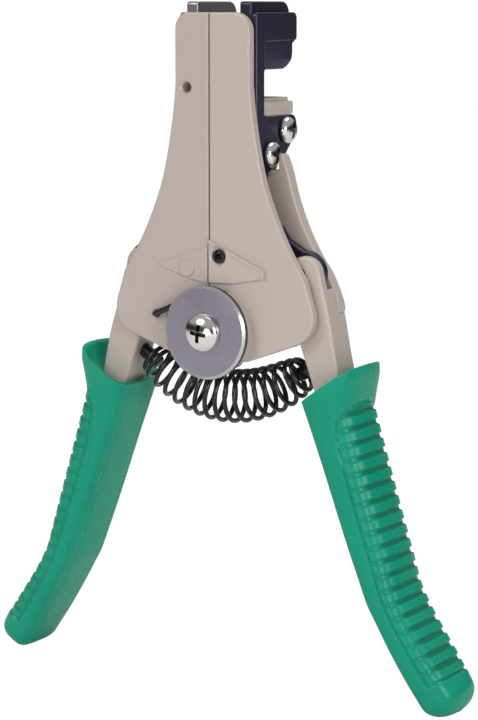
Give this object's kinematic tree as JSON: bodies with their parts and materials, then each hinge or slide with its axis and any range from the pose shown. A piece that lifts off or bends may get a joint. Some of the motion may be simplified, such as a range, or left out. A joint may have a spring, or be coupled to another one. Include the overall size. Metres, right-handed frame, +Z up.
{
  "type": "wire stripper",
  "caption": "Hand wire stripper with two spreading heads, sliding lower jaws, a barrel return spring and soft cupped grips on splayed handles.",
  "frame": {"origin": "bottom centre of the bounding box: midway between the two grip tips, midway through the depth, at the height of the lowest grip surface", "axes": "+X towards the right handle seen from the front, +Y to the back where the jaws open, +Z up along the tower from the grips to the hooks"},
  "size_m": [0.1332, 0.0296, 0.1684],
  "materials": {
    "beige_paint": "satin beige paint over a metal casting",
    "green_grip": "semi-gloss green vinyl sleeve",
    "gunblue_steel": "dark gun-blue finish",
    "grey_nickel": "dark grey nickel plating",
    "brushed_zinc": "brushed zinc plating",
    "bright_nickel": "bright nickel plating",
    "black_spring": "glossy black oxide",
    "bush_bronze": "plain bronze"
  },
  "bodies": {
    "pivot": {"pivot_screw": "bright_nickel", "pivot_washer": "brushed_zinc", "pivot_bush": "bush_bronze", "rear_washer": "brushed_zinc", "rear_nut": "bright_nickel", "torsion_spring": "black_spring", "handle_spring": "black_spring"},
    "right_head": {"front_plate_right": "beige_paint", "rear_arm_right": "beige_paint", "blade_plate_right": "gunblue_steel", "upper_block_right": "gunblue_steel", "plate_screw_right_lower": "bright_nickel", "plate_screw_right_upper": "bright_nickel", "wing_pin_right": "bright_nickel", "roll_pin": "black_spring"},
    "right_jaw": {"lower_jaw_right": "beige_paint", "lower_blade_right": "bright_nickel"},
    "right_handle": {"handle_right": "beige_paint", "cam_plate_right": "gunblue_steel", "cam_dowel_right": "bright_nickel", "grip_right": "green_grip", "spring_stud_right": "bright_nickel"},
    "left_head": {"front_plate_left": "beige_paint", "rear_arm_left": "beige_paint", "grip_plate_left": "grey_nickel", "upper_block_left": "grey_nickel", "plate_screw_left_lower": "bright_nickel", "plate_screw_left_upper": "bright_nickel", "wing_pin_left": "bright_nickel"},
    "left_jaw": {"lower_jaw_left": "beige_paint", "grip_insert_left": "bright_nickel"},
    "left_handle": {"handle_left": "beige_paint", "cam_plate_left": "gunblue_steel", "cam_dowel_left": "bright_nickel", "grip_left": "green_grip", "spring_stud_left": "bright_nickel"}
  },
  "joints": [
    {"name": "right_spread", "type": "hinge", "parent": "pivot", "child": "right_head", "pos_m": [0, -0.0076, 0.08882], "axis": [0, 1, 0], "range_deg": [0, 9], "stiffness_Nm_per_rad": 0.3, "springref_deg": -28.65, "deforming": ["torsion_spring"]},
    {"name": "left_spread", "type": "hinge", "parent": "pivot", "child": "left_head", "pos_m": [0, -0.0076, 0.08882], "axis": [0, 1, 0], "range_deg": [-9, 0], "deforming": ["torsion_spring"]},
    {"name": "right_squeeze", "type": "hinge", "parent": "right_head", "child": "right_handle", "pos_m": [0.0224, -0.0076, 0.10362], "axis": [0, 1, 0], "range_deg": [0, 19.2], "stiffness_Nm_per_rad": 0.6, "springref_deg": -34.38, "deforming": ["handle_spring"]},
    {"name": "left_squeeze", "type": "hinge", "parent": "left_head", "child": "left_handle", "pos_m": [-0.0224, -0.0076, 0.10362], "axis": [0, 1, 0], "range_deg": [-19.2, 0], "deforming": ["handle_spring"]},
    {"name": "right_jaw_lift", "type": "slide", "parent": "right_head", "child": "right_jaw", "axis": [0, 0, 1], "range_m": [0, 0.00657]},
    {"name": "left_jaw_lift", "type": "slide", "parent": "left_head", "child": "left_jaw", "axis": [0, 0, 1], "range_m": [0, 0.00657]}
  ],
  "couplings": [
    {"joint": "left_spread", "follows": "right_spread", "ratio": -1},
    {"joint": "left_squeeze", "follows": "right_squeeze", "ratio": -1},
    {"joint": "right_jaw_lift", "follows": "right_squeeze", "m_per_rad": 0.0196},
    {"joint": "left_jaw_lift", "follows": "right_squeeze", "m_per_rad": 0.0196}
  ]
}
